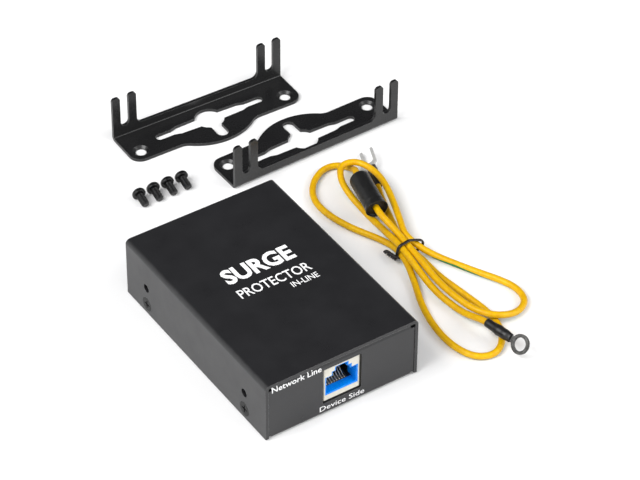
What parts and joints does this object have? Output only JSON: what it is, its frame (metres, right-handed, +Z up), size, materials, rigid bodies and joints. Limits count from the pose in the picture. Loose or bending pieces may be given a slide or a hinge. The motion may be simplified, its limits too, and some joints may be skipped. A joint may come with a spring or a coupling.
{
  "type": "network line surge protector kit",
  "caption": "Folded-steel in-line surge protector box with a modular jack at each end, slotted mounting brackets, loose screws and a ferrite-loaded ground lead.",
  "frame": {"origin": "centre of the box's underside, on the bench", "axes": "+Z up, -Y the equipment end of the box, +Y its line end, +X towards the ground lead"},
  "size_m": [0.1321, 0.1783, 0.024],
  "materials": {
    "black_steel": "fine satin powder coat",
    "black_screw": "black oxide, slightly glossy",
    "zinc_steel": "zinc plated",
    "board": "green solder mask",
    "film": "translucent film",
    "ceramic_tube": "glazed ceramic",
    "tin": "tin plated",
    "black_resin": "moulded",
    "fuse_green": "coated",
    "ivory_plastic": "moulded, semi-gloss",
    "blue_plastic": "moulded, semi-gloss",
    "gold_contact": "gold plated",
    "yellow_insulation": "extruded, yellow with a green stripe",
    "copper": "bare copper strands",
    "ferrite": "matt sintered ferrite",
    "heat_shrink": "matt"
  },
  "bodies": {
    "box": {"base_tray": "black_steel", "top_cover": "black_steel", "case_screws": "black_screw", "case_clinch_nuts": "zinc_steel", "bracket_clinch_nuts": "zinc_steel", "circuit_board": "board", "insulating_film": "film", "board_standoffs": "zinc_steel", "board_screws": "zinc_steel", "gas_tube_bodies": "ceramic_tube", "gas_tube_electrodes": "tin", "transient_diodes": "black_resin", "line_fuses": "fuse_green", "ground_strap": "tin", "ground_nut": "zinc_steel", "equipment_jack_housing": "ivory_plastic", "equipment_jack_insert": "blue_plastic", "equipment_jack_comb": "black_resin", "equipment_jack_pins": "tin", "line_jack_housing": "ivory_plastic", "line_jack_insert": "blue_plastic", "line_jack_comb": "black_resin", "line_jack_pins": "tin"},
    "equipment_contacts": {"equipment_jack_contacts": "gold_contact"},
    "line_contacts": {"line_jack_contacts": "gold_contact"},
    "ground_washer": {"ground_washer": "zinc_steel"},
    "ground_screw": {"ground_screw": "zinc_steel"},
    "rear_bracket": {"rear_bracket": "black_steel"},
    "front_bracket": {"front_bracket": "black_steel"},
    "bracket_screws": {"bracket_screws": "black_screw"},
    "ground_lead": {"wire_insulation": "yellow_insulation", "wire_core": "copper", "ferrite_core": "ferrite", "ferrite_sleeve": "heat_shrink", "fork_terminal": "tin", "fork_sleeve": "heat_shrink", "ring_terminal": "tin", "ring_sleeve": "heat_shrink", "twist_tie": "heat_shrink"}
  },
  "joints": [
    {"name": "equipment_contacts_spring", "type": "hinge", "parent": "box", "child": "equipment_contacts", "pos_m": [0, -0.03715, 0.0089], "axis": [-1, 0, 0], "range_deg": [0, 10]},
    {"name": "line_contacts_spring", "type": "hinge", "parent": "box", "child": "line_contacts", "pos_m": [0, 0.03715, 0.0089], "axis": [1, 0, 0], "range_deg": [0, 10]},
    {"name": "ground_screw_travel", "type": "slide", "parent": "box", "child": "ground_washer", "axis": [0, 1, 0], "range_m": [0, 0.003]},
    {"name": "ground_screw_turn", "type": "hinge", "parent": "ground_washer", "child": "ground_screw", "pos_m": [0.02, 0.0438, 0.013], "axis": [0, -1, 0], "range_deg": [-2160, 0]},
    {"name": "rear_bracket_lift", "type": "slide", "parent": "box", "child": "rear_bracket", "axis": [0, 0, 1], "range_m": [0, 0.06]},
    {"name": "front_bracket_lift", "type": "slide", "parent": "box", "child": "front_bracket", "axis": [0, 0, 1], "range_m": [0, 0.06]},
    {"name": "bracket_screws_lift", "type": "slide", "parent": "box", "child": "bracket_screws", "axis": [0, 0, 1], "range_m": [0, 0.06]},
    {"name": "ground_lead_lift", "type": "slide", "parent": "box", "child": "ground_lead", "axis": [0, 0, 1], "range_m": [0, 0.06]}
  ],
  "couplings": [
    {"joint": "ground_screw_turn", "follows": "ground_screw_travel", "rad_per_m": -12566}
  ]
}
